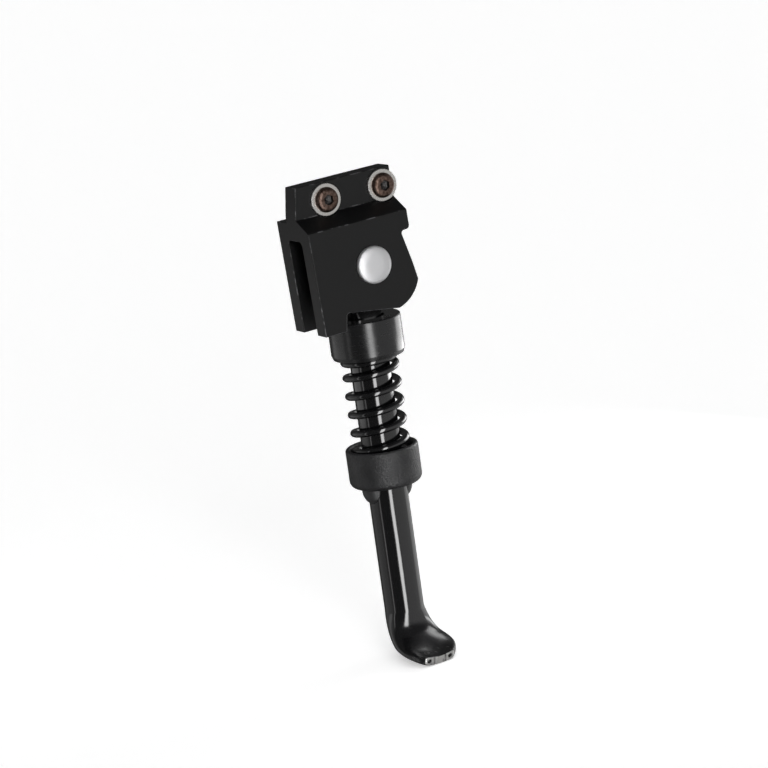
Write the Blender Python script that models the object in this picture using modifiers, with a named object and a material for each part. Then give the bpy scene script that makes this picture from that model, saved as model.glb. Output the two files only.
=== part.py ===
"""Spring-loaded side stand: a milled bracket, a cranked leg on a pivot bolt, and a sprung cam collar.

Metres, +Z up, +X towards the rear of the vehicle, -Y outwards. The origin lies on the back face of the
bracket's tab, level with its two screws and straight above the pivot. The stand is down, as it is parked.
"""

import math

import bmesh
import bpy
from mathutils import Matrix, Vector

MM = 0.001
GAP = 0.3 * MM  # between pieces that touch
FACETS = 48  # sides of the larger turned pieces
FOOT_STEPS = 16  # sections along the bent foot
SMALL_FACETS = 24  # sides of shanks, bores and small fasteners
LEG_FACETS = 40  # points round each section of the leg
COIL_STEPS = 24  # points in one turn of the spring

# Bracket: an extruded section along X, milled to a side outline
CHEEK = 7.5 * MM  # thickness of each cheek
SLOT = 12.0 * MM  # width between the cheeks
TAB = 9.0 * MM  # thickness of the screwed tab
SLOT_BACK = 1.4 * MM  # the slot's back wall behind the tab's back face
PIVOT_DROP = 29.5 * MM  # pivot below the screws
TAB_RISE = 7.5 * MM  # tab's top above the screws
TAB_SLANT = 2.2 * MM  # how far the tab's front end leans in at its top
CHEEK_TOP = 18.9 * MM  # front cheek's top edge above the pivot
CHAMFER_RISE = 5.0 * MM  # height of the broad sloping face over the front cheek
LEDGE_TOP = 22.5 * MM  # ledge behind the tab, above the pivot
SLOT_TOP = 15.0 * MM  # slot's top above the pivot
SLOT_CORNER = 2.5 * MM  # radius of the slot's upper corners
FRONT_LENGTH = 26.8 * MM  # pivot to the bracket's front end
REAR_LENGTH = 19.6 * MM  # pivot to the bracket's rear end
CAM_RADIUS = 23.0 * MM  # furthest reach of the cam corner from the pivot
CAM_ROUND = 15.4 * MM  # radius of the cam corner itself
CAM_MIDDLE = math.radians(-47.5)  # direction of the furthest reach
CAM_SPREAD = 28.5  # degrees of the rounded corner on each side of that
LUG_DROP = 24.3 * MM  # stop lug's lower end below the pivot
LUG_LENGTH = 9.9 * MM  # length of the stop lug at its lower end
LUG_DRAFT = 1.5 * MM  # how far the lug's inner side leans in
NOTCH_DROP = 16.8 * MM  # top of the notch beside the lug, below the pivot
RELIEF_LOW = (18.4 * MM, -3.2 * MM)  # slanting rear edge above the cam corner, from the pivot
RELIEF_HIGH = (15.3 * MM, 10.5 * MM)
REAR_SLOPE = 0.3 * MM  # how far the lower side of the rear end rises outwards
REAR_ROUND = 1.6 * MM  # lower corner of the bracket's rear end
MILL_ROUND = 1.2 * MM  # inside corners left by the milling cutter
EDGE = 0.5 * MM  # small broken edges

# Fasteners
BOLT = 8.0 * MM  # pivot bolt's shank
BOLT_HEAD = 15.6 * MM
BOLT_HEAD_RISE = 2.4 * MM
BOLT_HEAD_CROWN = 6.0 * MM  # nearly flat middle of the head
BOLT_HEAD_SIDE = 0.8 * MM  # straight side of the head under its dome
BOLT_PAST_NUT = 2.0 * MM
NUT_FLATS = 13.0 * MM
NUT_HEIGHT = 8.0 * MM
NUT_RING = 11.0 * MM  # round locking ring on the nut
NUT_RING_RISE = 1.8 * MM
SCREW = 6.0 * MM
SCREW_FLANGE = 13.6 * MM
SCREW_FLANGE_RISE = 1.0 * MM
SCREW_DOME = 10.5 * MM
SCREW_CROWN = 6.2 * MM  # flat middle of the dome
SCREW_HEAD_RISE = 3.3 * MM
SCREW_LENGTH = 20.0 * MM
SCREW_KEY = 4.0 * MM  # width of the hexagonal recess across its flats
SCREW_KEY_DEPTH = 2.0 * MM
SCREW_SPACING = 26.6 * MM
SCREW_SHIFT = 1.3 * MM  # middle of the two screws behind the pivot
SPOT_PLAY = 0.4 * MM  # round each screw's flange, where its seat is faced into the tab
SPOT_DEEP = 0.2 * MM
POINT = 0.8 * MM  # chamfer at the end of each threaded shank
RIM = 0.3 * MM  # broken edge round a flange

# Leg, measured from the pivot along the leg
LEAN = math.radians(2.0)  # the parked leg leans forwards at its foot
LEG = 16.8 * MM
LEG_INSET = 1.8 * MM  # leg's axis behind the middle of the slot
LEG_DROP = 168.0 * MM  # pivot to the sole
EYE_PLAY = 0.3 * MM  # each side of the flattened eye in the slot
EYE_RADIUS = 9.4 * MM
EYE_SHARE = 0.6  # of the way from the pivot to the cam corner, where the eye starts to narrow
NECK_WIDTH = 14.0 * MM  # the eye's neck where it leaves the slot, inside the collar's bore
NECK_THICK = 10.2 * MM
NECK_TAPER = 5.6 * MM  # length over which the neck turns round
PRESSED = 0.35  # squareness of a section: 1 is round, less has flatter sides and tighter corners
HALF_PRESSED = 0.6
ROUND = 1.0
FOOT_BEND = 150.0 * MM  # where the tube starts to bend outwards
FOOT_REACH = 25.8 * MM  # sole's edge outwards of the leg's axis
FOOT_TURN = math.radians(75.0)
FOOT_WIDTH = 24.6 * MM
FOOT_EDGE = 13.8 * MM  # width of the sole's outer edge
FOOT_THICK = 4.0 * MM
DISH = 2.0 * MM  # hollow of the foot's upper side
EAR_DROP = 7.0 * MM  # swaged ears under the cup, each a blunt cone half sunk in the tube
EAR_PROUD = 3.0 * MM
EAR_DEEP = 2.5 * MM  # how far the cone's axis lies under the tube's surface
EAR_END = 1.5 * MM  # radius of its lower end

# Cam collar, spring and cup, measured from the pivot along the leg
BORE_PLAY = 0.3 * MM
COLLAR = 31.0 * MM
COLLAR_HEIGHT = 16.6 * MM
COLLAR_RIM = 0.7 * MM  # rounded upper edge
COLLAR_FOOT = 1.8 * MM  # height of the chamfer round the lower edge
COLLAR_CHAMFER = 0.7 * MM
WIRE = 3.0 * MM
SPRING_PLAY = 0.9 * MM  # between the leg and the coils
PITCH = 7.92 * MM
SEAT_TURNS = 0.8  # closed turns at each end of the spring
SPRING_CLOCK = math.radians(48.0)  # where the upper closed turn begins, seen from above
CUP_TOP = 78.8 * MM
CUP_HEIGHT = 16.6 * MM
CUP_DEPTH = 6.0 * MM
CUP_WALL = 2.1 * MM
CUP_PLAY = 1.0 * MM  # between the coils and the cup's wall
CUP_BASE_ROUND = 3.0 * MM

PIVOT = Vector((0.0, SLOT_BACK - SLOT / 2, -PIVOT_DROP))
FRONT_FACE = SLOT_BACK - SLOT - CHEEK
REAR_FACE = SLOT_BACK + CHEEK
FOLD = CHEEK_TOP + CHAMFER_RISE
SCREW_SEAT = SPOT_DEEP - TAB
EYE_THICK = SLOT - 2 * EYE_PLAY
SPRING = LEG + 2 * (SPRING_PLAY + WIRE)
CUP = SPRING + 2 * (CUP_PLAY + CUP_WALL)
COLLAR_TOP = CAM_RADIUS + GAP
COLLAR_BASE = COLLAR_TOP + COLLAR_HEIGHT
CUP_FLOOR = CUP_TOP + CUP_DEPTH
CUP_BASE = CUP_TOP + CUP_HEIGHT


def clear_scene():
    for old in list(bpy.data.objects):
        bpy.data.objects.remove(old)


def new_collection(name):
    collection = bpy.data.collections.new(name)
    bpy.context.scene.collection.children.link(collection)
    return collection


def material(name, colour, roughness, metallic=0.0):
    made = bpy.data.materials.new(name)
    made.use_nodes = True
    shader = made.node_tree.nodes["Principled BSDF"]
    shader.inputs["Base Color"].default_value = (*colour, 1.0)
    shader.inputs["Roughness"].default_value = roughness
    shader.inputs["Metallic"].default_value = metallic
    return made


def add_mesh(name, mesh, parent=None):
    made = bpy.data.objects.new(name, mesh)
    parts.objects.link(made)
    made.parent = parent
    return made


def finish(made, finish_material):
    made.data.materials.clear()
    made.data.materials.append(finish_material)
    made.data.shade_smooth()
    made.data.set_sharp_from_angle(angle=math.radians(30.0))


def as_cutter(made):
    parts.objects.unlink(made)
    cutters.objects.link(made)
    made.hide_render = True
    made.display_type = "WIRE"
    return made


def combine(made, other, operation):
    step = made.modifiers.new(operation.title(), "BOOLEAN")
    step.operation = operation
    step.object = as_cutter(other)


def arc(centre, radius, start, end, steps):
    """Points on a circle about centre, from the start angle to the end angle in degrees."""
    angles = [math.radians(start + (end - start) * i / steps) for i in range(steps + 1)]
    return [(centre[0] + radius * math.cos(a), centre[1] + radius * math.sin(a)) for a in angles]


def plate(name, outline, thickness, rotation, location, parent=None):
    """A flat outline with thickness, half of it on each side, as a welded mesh."""
    curve = bpy.data.curves.new(name, "CURVE")
    curve.dimensions = "2D"
    curve.fill_mode = "BOTH"
    curve.extrude = thickness / 2
    spline = curve.splines.new("POLY")
    spline.points.add(len(outline) - 1)
    for point, (x, y) in zip(spline.points, outline):
        point.co = (x, y, 0.0, 1.0)
    spline.use_cyclic_u = True
    flat = add_mesh(name, curve, parent)
    flat.rotation_euler = rotation
    flat.location = location
    return to_mesh(flat)


def to_mesh(flat):
    """Replaces a curve object by the welded mesh of what it shows."""
    bpy.context.view_layer.update()
    graph = bpy.context.evaluated_depsgraph_get()
    mesh = bpy.data.meshes.new_from_object(flat.evaluated_get(graph))
    weld = bmesh.new()
    weld.from_mesh(mesh)
    bmesh.ops.remove_doubles(weld, verts=weld.verts, dist=1e-6)
    bmesh.ops.recalc_face_normals(weld, faces=weld.faces)
    weld.to_mesh(mesh)
    weld.free()
    name, place, parent = flat.name, flat.matrix_world.copy(), flat.parent
    bpy.data.objects.remove(flat)
    made = add_mesh(name, mesh, parent)
    made.matrix_world = place
    return made


def turned(name, profile, steps, rotation=(0.0, 0.0, 0.0), location=(0.0, 0.0, 0.0), parent=None):
    """A closed profile of (radius, height), listed down its outer side, turned about Z."""
    mesh = bpy.data.meshes.new(name)
    count = len(profile)
    closed = profile[0][0] > 0.0 and profile[-1][0] > 0.0
    edges = [(i, i + 1) for i in range(count - 1)] + ([(count - 1, 0)] if closed else [])
    mesh.from_pydata([(r, 0.0, z) for r, z in profile], edges, [])
    made = add_mesh(name, mesh, parent)
    screw = made.modifiers.new("Turn", "SCREW")
    screw.steps = screw.render_steps = steps
    screw.use_merge_vertices = True
    screw.merge_threshold = 1e-6
    made.rotation_euler = rotation
    made.location = location
    return made


def crowned_head(width, crown, base, rise):
    """Points from the middle of a head's flat crown down its rounded side to the edge of its base."""
    side = width / 2 - crown / 2
    rounds = arc((0.0, 0.0), 1.0, 90, 0, 4)
    return [(0.0, rise)] + [(crown / 2 + side * x, base + (rise - base) * y) for x, y in rounds]


def threaded_end(width, length):
    """Points down a shank to its chamfered end."""
    shank = width / 2
    return [(shank, 0.0), (shank, -length + POINT), (shank - POINT, -length), (0.0, -length)]


# Turns a local Z axis to point outwards, along -Y
OUTWARDS = (math.radians(90.0), 0.0, 0.0)


def bracket_section():
    """The extrusion's section in Y and Z, with Z measured from the screws."""
    ledge = LEDGE_TOP - PIVOT_DROP
    slot_top = SLOT_TOP - PIVOT_DROP
    base = -LUG_DROP - PIVOT_DROP
    slot_front = SLOT_BACK - SLOT
    slot = arc((slot_front + SLOT_CORNER, slot_top - SLOT_CORNER), SLOT_CORNER, 180, 90, 4)
    slot += arc((SLOT_BACK - SLOT_CORNER, slot_top - SLOT_CORNER), SLOT_CORNER, 90, 0, 4)
    return [
        (slot_front, base),
        *slot,
        (SLOT_BACK, base),
        (REAR_FACE, base),
        (REAR_FACE, ledge),
        (0.0, ledge),
        (0.0, TAB_RISE),
        (-TAB, TAB_RISE),
        (-TAB, FOLD - PIVOT_DROP),
        (FRONT_FACE, CHEEK_TOP - PIVOT_DROP),
        (FRONT_FACE, base),
    ]


def fillet(before, corner, after, radius, steps=4):
    """An arc of the radius that rounds the corner between its two neighbours."""
    corner = Vector(corner)
    into = (Vector(before) - corner).normalized()
    out = (Vector(after) - corner).normalized()
    half = into.angle(out) / 2
    centre = corner + (into + out).normalized() * radius / math.sin(half)
    start = corner + into * radius / math.tan(half) - centre
    end = corner + out * radius / math.tan(half) - centre
    turn = start.angle_signed(end)
    return [tuple(centre + Matrix.Rotation(-turn * i / steps, 2) @ start) for i in range(steps + 1)]


def bracket_outline():
    """The milled side outline in X and Z, with Z measured from the pivot."""
    reach = CAM_RADIUS - CAM_ROUND
    cam_centre = (reach * math.cos(CAM_MIDDLE), reach * math.sin(CAM_MIDDLE))
    middle = math.degrees(CAM_MIDDLE)
    cam = arc(cam_centre, CAM_ROUND, middle - CAM_SPREAD, middle + CAM_SPREAD, 14)
    lug_inner = -FRONT_LENGTH + LUG_LENGTH
    lug_foot = (lug_inner, -LUG_DROP)
    notch = (lug_inner + LUG_DRAFT, -NOTCH_DROP)
    rear_low = (REAR_LENGTH, RELIEF_HIGH[1] + REAR_SLOPE)
    top = PIVOT_DROP + TAB_RISE
    return [
        (-FRONT_LENGTH, -LUG_DROP),
        lug_foot,
        *fillet(lug_foot, notch, cam[0], MILL_ROUND),
        *cam,
        RELIEF_LOW,
        *fillet(RELIEF_LOW, RELIEF_HIGH, rear_low, MILL_ROUND),
        *fillet(RELIEF_HIGH, rear_low, (REAR_LENGTH, top), REAR_ROUND),
        (REAR_LENGTH, top),
        (-FRONT_LENGTH + TAB_SLANT, top),
        (-FRONT_LENGTH, FOLD + 2 * EDGE),
    ]


def make_bracket():
    section = plate(
        "side_stand_bracket",
        bracket_section(),
        4 * FRONT_LENGTH,
        (math.radians(90.0), 0.0, math.radians(90.0)),
        (0.0, 0.0, 0.0),
    )
    depth = 4 * (REAR_FACE - FRONT_FACE)
    side = plate("side_outline", bracket_outline(), depth, OUTWARDS, (0.0, 0.0, -PIVOT_DROP))
    combine(section, side, "INTERSECT")
    edges = section.modifiers.new("Broken edges", "BEVEL")
    edges.width = EDGE
    edges.segments = 1
    edges.limit_method = "ANGLE"
    edges.angle_limit = math.radians(40.0)
    combine(section, round_bar("pivot_bore", BOLT + 2 * GAP, depth, PIVOT), "DIFFERENCE")
    hole, spot = SCREW / 2 + GAP, SCREW_FLANGE / 2 + SPOT_PLAY
    stepped = [(0.0, depth), (spot, depth), (spot, -SCREW_SEAT), (hole, -SCREW_SEAT)]
    stepped += [(hole, -depth), (0.0, -depth)]
    for end, x in SCREW_PLACES.items():
        cutter = turned(f"screw_hole_{end}", stepped, 2 * SMALL_FACETS, OUTWARDS, (x, 0.0, 0.0))
        combine(section, cutter, "DIFFERENCE")
    finish(section, material("bracket_black", (0.02, 0.02, 0.022), 0.42, 0.6))


def round_bar(name, diameter, length, centre, parent=None):
    """A round bar along Y, to cut a hole with or to join on."""
    radius, half = diameter / 2, length / 2
    profile = [(0.0, half), (radius, half), (radius, -half), (0.0, -half)]
    return turned(name, profile, SMALL_FACETS, OUTWARDS, centre, parent)


def make_screws():
    """Low flanged screws with a hexagonal recess, heads outwards."""
    steel = material("screw_steel", (0.62, 0.6, 0.57), 0.28, 1.0)
    flange = SCREW_FLANGE / 2
    dome = crowned_head(SCREW_DOME, SCREW_CROWN, SCREW_FLANGE_RISE, SCREW_HEAD_RISE)
    rim = [(flange - RIM, SCREW_FLANGE_RISE), (flange, SCREW_FLANGE_RISE - RIM), (flange, 0.0)]
    profile = dome + rim + threaded_end(SCREW, SCREW_LENGTH)
    for end, x in SCREW_PLACES.items():
        place = (x, SCREW_SEAT - GAP, 0.0)
        screw = turned(f"mount_screw_{end}", profile, 2 * SMALL_FACETS, OUTWARDS, place)
        key = hexagon(f"key_recess_{end}", SCREW_KEY, 2 * SCREW_KEY_DEPTH)
        key.location = (x, SCREW_SEAT - GAP - SCREW_HEAD_RISE, 0.0)
        combine(screw, key, "DIFFERENCE")
        finish(screw, steel)


def hexagon(name, across_flats, height):
    """A six-sided prism along Y, centred on its own origin."""
    mesh = bpy.data.meshes.new(name)
    form = bmesh.new()
    radius = across_flats / math.sqrt(3.0)
    bmesh.ops.create_cone(form, cap_ends=True, segments=6, radius1=radius, radius2=radius, depth=height)
    bmesh.ops.rotate(form, verts=form.verts, matrix=Matrix.Rotation(math.radians(90.0), 3, "X"))
    form.to_mesh(mesh)
    form.free()
    return add_mesh(name, mesh)


def make_pivot_bolt():
    length = REAR_FACE - FRONT_FACE + GAP + NUT_HEIGHT + BOLT_PAST_NUT
    head = crowned_head(BOLT_HEAD, BOLT_HEAD_CROWN, BOLT_HEAD_SIDE, BOLT_HEAD_RISE)
    profile = head + [(BOLT_HEAD / 2, 0.0)] + threaded_end(BOLT, length)
    place = (PIVOT.x, FRONT_FACE - GAP, PIVOT.z)
    bolt = turned("pivot_bolt", profile, FACETS, OUTWARDS, place)
    finish(bolt, material("bolt_steel", (0.72, 0.73, 0.75), 0.22, 1.0))


def make_pivot_nut():
    """A hexagonal nut with a round locking ring, behind the rear cheek."""
    base = REAR_FACE + GAP
    hexagon_height = NUT_HEIGHT - NUT_RING_RISE
    nut = hexagon("pivot_nut", NUT_FLATS, hexagon_height)
    nut.location = (PIVOT.x, base + hexagon_height / 2, PIVOT.z)
    middle = (PIVOT.x, base + NUT_HEIGHT / 2, PIVOT.z)
    ring_place = (PIVOT.x, base + NUT_HEIGHT - NUT_RING_RISE, PIVOT.z)
    combine(nut, round_bar("nut_ring", NUT_RING, 2 * NUT_RING_RISE, ring_place), "UNION")
    combine(nut, round_bar("nut_bore", BOLT + 2 * GAP, 2 * NUT_HEIGHT, middle), "DIFFERENCE")
    finish(nut, material("nut_zinc", (0.6, 0.6, 0.6), 0.35, 1.0))


def foot_path(along):
    """Reach from the leg's axis, drop and turn of the centre line, from 0 at the bend to 1 at the sole."""
    drop_left = LEG_DROP - FOOT_BEND
    cos_turn, sin_turn = math.cos(FOOT_TURN), math.sin(FOOT_TURN)
    tail = (drop_left * (1 - cos_turn) - FOOT_REACH * sin_turn) / (cos_turn * (1 - cos_turn) - sin_turn**2)
    radius = (drop_left - tail * cos_turn) / sin_turn
    bend = radius * FOOT_TURN
    total = bend + tail
    walked = along * total
    turn = min(walked / radius, FOOT_TURN)
    straight = max(walked - bend, 0.0)
    reach = radius * (1 - math.cos(turn)) + straight * sin_turn
    drop = FOOT_BEND + radius * math.sin(turn) + straight * cos_turn
    return reach, drop, turn


def eased(rows, along):
    """The values at a place along a table whose first column is that place, without creases."""
    after = next(i for i, row in enumerate(rows) if row[0] >= along or row is rows[-1])
    low, high = max(after - 1, 0), max(after, 1)
    a, b = rows[low], rows[high]
    before, beyond = rows[max(low - 1, 0)], rows[min(high + 1, len(rows) - 1)]
    span = b[0] - a[0]
    t = (along - a[0]) / span
    values = []
    for p, q, start, end in zip(a[1:], b[1:], before[1:], beyond[1:]):
        leave = (q - start) * span / (b[0] - before[0])
        arrive = (end - p) * span / (beyond[0] - a[0])
        cubic = (2 * t**3 - 3 * t**2 + 1) * p + (t**3 - 2 * t**2 + t) * leave
        values.append(cubic + (3 * t**2 - 2 * t**3) * q + (t**3 - t**2) * arrive)
    return values


def leg_sections():
    """Sections down the leg: inset, drop, turn, half-width, half-thickness, squareness and dishing."""
    tube = LEG / 2
    eye = EYE_THICK / 2
    neck_inset = eye - NECK_THICK / 2
    sections = [
        (0.0, 0.0, 0.0, EYE_RADIUS, eye, PRESSED, 0.0),
        (0.0, CAM_RADIUS * EYE_SHARE, 0.0, EYE_RADIUS, eye, PRESSED, 0.0),
        (neck_inset, CAM_RADIUS + GAP / 2, 0.0, NECK_WIDTH / 2, NECK_THICK / 2, HALF_PRESSED, 0.0),
        (LEG_INSET, CAM_RADIUS + NECK_TAPER, 0.0, tube, tube, ROUND, 0.0),
    ]
    wide, edge, thin = FOOT_WIDTH / 2, FOOT_EDGE / 2, FOOT_THICK / 2
    # Place along the bend, half-width, half-thickness, squareness and dishing
    foot = [
        (0.0, tube, tube, ROUND, 0.0),
        (0.2, tube * 1.16, tube * 0.76, 0.92, DISH * 0.2),
        (0.4, wide * 0.9, tube * 0.5, 0.75, DISH * 0.6),
        (0.6, wide, thin * 1.25, HALF_PRESSED, DISH),
        (0.78, wide * 0.96, thin, 0.55, DISH),
        (0.91, wide * 0.78, thin, 0.5, DISH * 0.6),
        (1.0, edge, thin, 0.45, DISH * 0.2),
    ]
    for step in range(FOOT_STEPS + 1):
        along = step / FOOT_STEPS
        reach, drop, turn = foot_path(along)
        sections.append((LEG_INSET - reach, drop, turn, *eased(foot, along)))
    return sections


def section_ring(section, count):
    """Points of one section of the leg, in the leg's own frame with the pivot at its origin."""
    inset, drop, turn, half_width, half_thick, square, dish = section
    upper = Vector((0.0, -math.cos(turn), math.sin(turn)))
    centre = Vector((0.0, inset, -drop))
    ring = []
    for step in range(count):
        angle = 2 * math.pi * step / count
        cosine, sine = math.cos(angle), math.sin(angle)
        x = half_width * math.copysign(abs(cosine) ** square, cosine)
        up = half_thick * math.copysign(abs(sine) ** square, sine)
        lift = dish * ((x / half_width) ** 2 - 0.5)
        ring.append(centre + Vector((x, 0.0, 0.0)) + upper * (up + lift))
    return ring


def loft(name, rings, parent):
    """A closed skin over rings of equal count, capped at both ends."""
    mesh = bpy.data.meshes.new(name)
    form = bmesh.new()
    rows = [[form.verts.new(point) for point in ring] for ring in rings]
    count = len(rows[0])
    for low, high in zip(rows, rows[1:]):
        for i in range(count):
            j = (i + 1) % count
            form.faces.new((low[i], low[j], high[j], high[i]))
    form.faces.new(rows[0])
    form.faces.new(list(reversed(rows[-1])))
    bmesh.ops.recalc_face_normals(form, faces=form.faces)
    form.to_mesh(mesh)
    form.free()
    return add_mesh(name, mesh, parent)


def make_ear(side, direction, hinge):
    """One swaged ear that carries the cup."""
    radius = EAR_PROUD + EAR_DEEP
    cone = [(0.0, 0.0), (radius - RIM, 0.0), (radius, -RIM), (EAR_END, -EAR_DROP), (0.0, -EAR_DROP)]
    place = (direction * (LEG / 2 - EAR_DEEP), LEG_INSET, -CUP_BASE - GAP)
    return turned(f"swaged_ear_{side}", cone, SMALL_FACETS, location=place, parent=hinge)


def make_leg(hinge):
    rings = [section_ring(section, LEG_FACETS) for section in leg_sections()]
    leg = loft("stand_leg", rings, hinge)
    eye = round_bar("leg_eye", 2 * EYE_RADIUS, EYE_THICK, (0.0, 0.0, 0.0), hinge)
    combine(leg, eye, "UNION")
    for side, direction in (("front", -1), ("rear", 1)):
        combine(leg, make_ear(side, direction, hinge), "UNION")
    hole = round_bar("leg_pivot_bore", BOLT + 2 * GAP, 4 * SLOT, (0.0, 0.0, 0.0), hinge)
    combine(leg, hole, "DIFFERENCE")
    finish(leg, material("leg_black", (0.012, 0.012, 0.013), 0.2))


def on_leg(name, profile, hinge):
    """A ring turned round the leg's axis."""
    return turned(name, profile, FACETS, location=(0.0, LEG_INSET, 0.0), parent=hinge)


def make_collar(hinge):
    radius, bore = COLLAR / 2, LEG / 2 + BORE_PLAY
    rim = arc((radius - COLLAR_RIM, -COLLAR_TOP - COLLAR_RIM), COLLAR_RIM, 90, 0, 4)
    foot = [(radius, -COLLAR_BASE + COLLAR_FOOT), (radius - COLLAR_CHAMFER, -COLLAR_BASE)]
    profile = [(bore, -COLLAR_TOP), *rim, *foot, (bore, -COLLAR_BASE)]
    finish(on_leg("cam_collar", profile, hinge), material("collar_black", (0.014, 0.014, 0.015), 0.16))


def make_cup(hinge):
    """The lower spring seat: a rounded cup with its recess upwards."""
    radius, bore = CUP / 2, LEG / 2 + BORE_PLAY
    lip = CUP_WALL / 2
    well = radius - CUP_WALL
    rim = arc((radius - lip, -CUP_TOP - lip), lip, 180, 0, 6)
    base = arc((radius - CUP_BASE_ROUND, -CUP_BASE + CUP_BASE_ROUND), CUP_BASE_ROUND, 0, -90, 5)
    profile = [(bore, -CUP_FLOOR), (well, -CUP_FLOOR), *rim, *base, (bore, -CUP_BASE)]
    finish(on_leg("spring_cup", profile, hinge), material("cup_rubber", (0.03, 0.03, 0.032), 0.75))


def spring_path(high, low):
    """Points up a right-handed coil with a closed turn at each end, round the leg's axis."""
    seat_rise = SEAT_TURNS * (WIRE + GAP)
    open_turns = (high - low - 2 * seat_rise) / PITCH
    turns = open_turns + 2 * SEAT_TURNS
    count = round(turns * COIL_STEPS)
    radius = (SPRING - WIRE) / 2
    points = []
    for i in range(count + 1):
        turn = turns * i / count
        climbing = min(max(turn - SEAT_TURNS, 0.0), open_turns)
        angle = SPRING_CLOCK + 2 * math.pi * (turn - SEAT_TURNS - open_turns)
        height = low + (turn - climbing) * (WIRE + GAP) + climbing * PITCH
        points.append((radius * math.cos(angle), radius * math.sin(angle), height))
    return points


def make_spring(hinge):
    """The coil, with both ends ground flat to its seats."""
    high = -COLLAR_BASE - GAP
    low = -CUP_FLOOR + GAP
    points = spring_path(high, low)
    curve = bpy.data.curves.new("return_spring", "CURVE")
    curve.dimensions = "3D"
    curve.bevel_depth = WIRE / 2
    curve.bevel_resolution = 2
    curve.use_fill_caps = True
    spline = curve.splines.new("POLY")
    spline.points.add(len(points) - 1)
    for point, place in zip(spline.points, points):
        point.co = (*place, 1.0)
    wire = add_mesh("return_spring", curve, hinge)
    wire.location = (0.0, LEG_INSET, 0.0)
    spring = to_mesh(wire)
    for vertex in spring.data.vertices:
        vertex.co.z = min(max(vertex.co.z, low), high)
    finish(spring, material("spring_black", (0.012, 0.012, 0.013), 0.2))


SCREW_PLACES = {"front": SCREW_SHIFT - SCREW_SPACING / 2, "rear": SCREW_SHIFT + SCREW_SPACING / 2}

clear_scene()
parts = new_collection("side_stand")
cutters = new_collection("cutters")

hinge = bpy.data.objects.new("stand_hinge", None)
parts.objects.link(hinge)
hinge.location = PIVOT
hinge.rotation_euler = (0.0, LEAN, 0.0)

make_bracket()
make_screws()
make_pivot_bolt()
make_pivot_nut()
make_leg(hinge)
make_collar(hinge)
make_cup(hinge)
make_spring(hinge)
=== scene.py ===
# %% [markdown]
# # Dressing a sprung side stand
# The stand is a milled bracket, a steel leg on a pivot bolt, and a collar that a spring presses
# against the bracket's underside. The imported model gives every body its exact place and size. In
# this lesson each piece is modelled once more with finer edges, real threads and ground ends, and
# gets a finish of nodes.

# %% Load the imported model
import math
from contextlib import contextmanager

import bmesh
import bpy
from mathutils import Matrix, Vector


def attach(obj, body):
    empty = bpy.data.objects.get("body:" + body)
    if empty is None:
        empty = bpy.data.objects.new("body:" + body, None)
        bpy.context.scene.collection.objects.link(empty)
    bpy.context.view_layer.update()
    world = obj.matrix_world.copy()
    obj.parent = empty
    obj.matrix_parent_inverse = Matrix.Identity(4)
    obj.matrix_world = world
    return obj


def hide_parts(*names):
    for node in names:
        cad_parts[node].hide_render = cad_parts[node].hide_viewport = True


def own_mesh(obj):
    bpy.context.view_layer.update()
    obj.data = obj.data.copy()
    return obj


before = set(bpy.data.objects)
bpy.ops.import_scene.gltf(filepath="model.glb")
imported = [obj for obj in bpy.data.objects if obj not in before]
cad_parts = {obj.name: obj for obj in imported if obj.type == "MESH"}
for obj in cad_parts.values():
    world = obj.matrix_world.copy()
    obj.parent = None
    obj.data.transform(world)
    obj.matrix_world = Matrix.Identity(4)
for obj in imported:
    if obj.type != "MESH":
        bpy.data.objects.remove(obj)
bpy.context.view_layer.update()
MM = 0.001

# %% [markdown]
# ## The view
# The real stand was seen from in front and a little above, with a long lens and the camera rolled.
# The view could be found by trial, but here it is given by three directions in the model's own
# axes: what points right and what points back in the picture, and where in the picture the model's
# origin lies.

# %% Camera
PICTURE = 768  # width and height in pixels
SCALE = 2425.0  # pixels to a metre at the object
ORIGIN_PIXEL = (340.2, 191.5)
DISTANCE = 1.2
right = Vector((0.860, -0.482, -0.166)).normalized()
back = Vector((-0.443, -0.868, 0.228))
back = (back - right * back.dot(right)).normalized()
up = back.cross(right)
aim = right * (PICTURE / 2 - ORIGIN_PIXEL[0]) / SCALE - up * (PICTURE / 2 - ORIGIN_PIXEL[1]) / SCALE

camera_data = bpy.data.cameras.new("long_lens")
camera_data.sensor_width = 36.0
camera_data.lens = camera_data.sensor_width * DISTANCE / (PICTURE / SCALE)
camera_data.clip_start = 0.01
camera = bpy.data.objects.new("long_lens", camera_data)
turned = Matrix((right, up, back)).transposed().to_4x4()
camera.matrix_world = Matrix.Translation(aim + back * DISTANCE) @ turned
bpy.context.scene.collection.objects.link(camera)
bpy.context.scene.camera = camera
bpy.context.scene.view_settings.view_transform = "Standard"
print(f"lens {camera_data.lens:.1f} mm, looking down {math.degrees(math.asin(back.z)):.1f} degrees")

# %% [markdown]
# ## Writing shader maths as sums
# A finish is a small recipe of numbers that vary over the surface. Wiring it node by node hides the
# recipe, so a small class wraps a socket and turns Python's operators into Math nodes. Every other
# node comes from one method that takes its kind, its settings and what goes into its sockets.


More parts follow.
